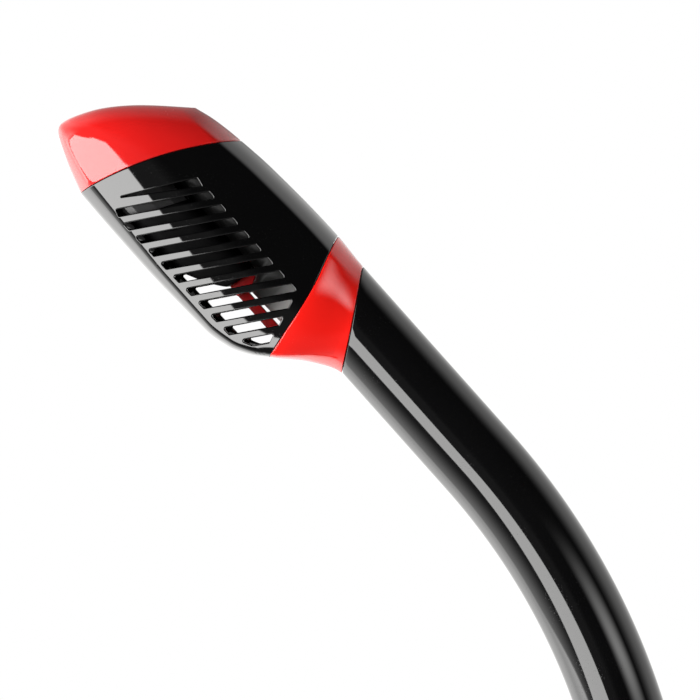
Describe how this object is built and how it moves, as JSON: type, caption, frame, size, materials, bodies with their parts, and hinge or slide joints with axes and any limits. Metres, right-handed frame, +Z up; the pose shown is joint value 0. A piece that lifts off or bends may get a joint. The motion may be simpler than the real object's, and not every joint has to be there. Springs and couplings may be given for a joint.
{
  "type": "snorkel tube",
  "caption": "Dry-top snorkel: curved glossy barrel, louvred float-valve head with red cap and collar, sliding strap keeper, flexible hose, purge chamber and mouthpiece.",
  "frame": {"origin": "middle of the strap pad, the flat face of the strap buckle that lies against the mask strap, at the height where the barrel stands upright", "axes": "+Z up as worn, +X the way the wearer faces, -Y out of the strap pad towards the wearer's head; the snorkel's plane of symmetry is parallel to X-Z at y 0.021"},
  "size_m": [0.1921, 0.0584, 0.3992],
  "materials": {
    "red": "glossy injection-moulded ABS, red",
    "gloss_black": "high-gloss black plastic",
    "satin_black": "satin black nylon",
    "black_silicone": "soft black silicone, matte",
    "clear_silicone": "thin clear silicone, slightly milky",
    "pale_plastic": "pale grey plastic, satin",
    "float_foam": "closed-cell float, black skin",
    "pin_steel": "stainless steel"
  },
  "bodies": {
    "buckle": {"strap_buckle": "satin_black", "lever_pin": "pin_steel"},
    "lever": {"release_lever": "red"},
    "keeper": {"keeper_ring": "satin_black", "swivel_stud": "pin_steel"},
    "barrel": {"barrel_tube": "gloss_black", "collar": "red", "spigot_oring": "black_silicone", "grille_housing": "gloss_black", "air_duct": "pale_plastic", "valve_deck": "satin_black", "seat_ring": "red", "cap_gasket": "black_silicone", "top_cap": "red", "float_guide": "red"},
    "float": {"float_body": "float_foam", "float_seal": "clear_silicone"},
    "hose": {"hose_clamp_upper": "satin_black", "flex_hose": "black_silicone"},
    "chamber": {"hose_clamp_lower": "satin_black", "purge_chamber": "gloss_black", "purge_seat": "satin_black", "purge_cover": "red", "mouthpiece": "black_silicone", "mouthpiece_tie": "satin_black"},
    "diaphragm": {"purge_diaphragm": "clear_silicone"}
  },
  "joints": [
    {"name": "lever_press", "type": "hinge", "parent": "buckle", "child": "lever", "pos_m": [0, 0.0021, 0.012], "axis": [1, 0, 0], "range_deg": [0, 7.5], "stiffness_Nm_per_rad": 0.02, "springref_deg": -6.88},
    {"name": "keeper_turn", "type": "hinge", "parent": "buckle", "child": "keeper", "pos_m": [0, 0, 0], "axis": [0, 1, 0], "range_deg": [-45, 45]},
    {"name": "barrel_slide", "type": "hinge", "parent": "keeper", "child": "barrel", "pos_m": [-0.1995, 0.021, 0], "axis": [0, 1, 0], "range_deg": [-8, 17]},
    {"name": "float_slide", "type": "slide", "parent": "barrel", "child": "float", "axis": [-0.6661, 0, 0.7458], "range_m": [0, 0.0048]},
    {"name": "hose_swivel", "type": "hinge", "parent": "barrel", "child": "hose", "pos_m": [-0.00691, 0.021, -0.05475], "axis": [0.1908, 0, 0.9816], "range_deg": [-60, 120]},
    {"name": "hose_flex", "type": "hinge", "parent": "hose", "child": "chamber", "pos_m": [-0.01628, 0.021, -0.08317], "axis": [0, 1, 0], "range_deg": [-30, 30], "stiffness_Nm_per_rad": 0.6, "deforming": ["flex_hose"]},
    {"name": "diaphragm_lift", "type": "slide", "parent": "chamber", "child": "diaphragm", "axis": [-0.6428, 0, -0.766], "range_m": [0, 0.0012], "stiffness_N_per_m": 30, "springref_m": -0.001}
  ]
}
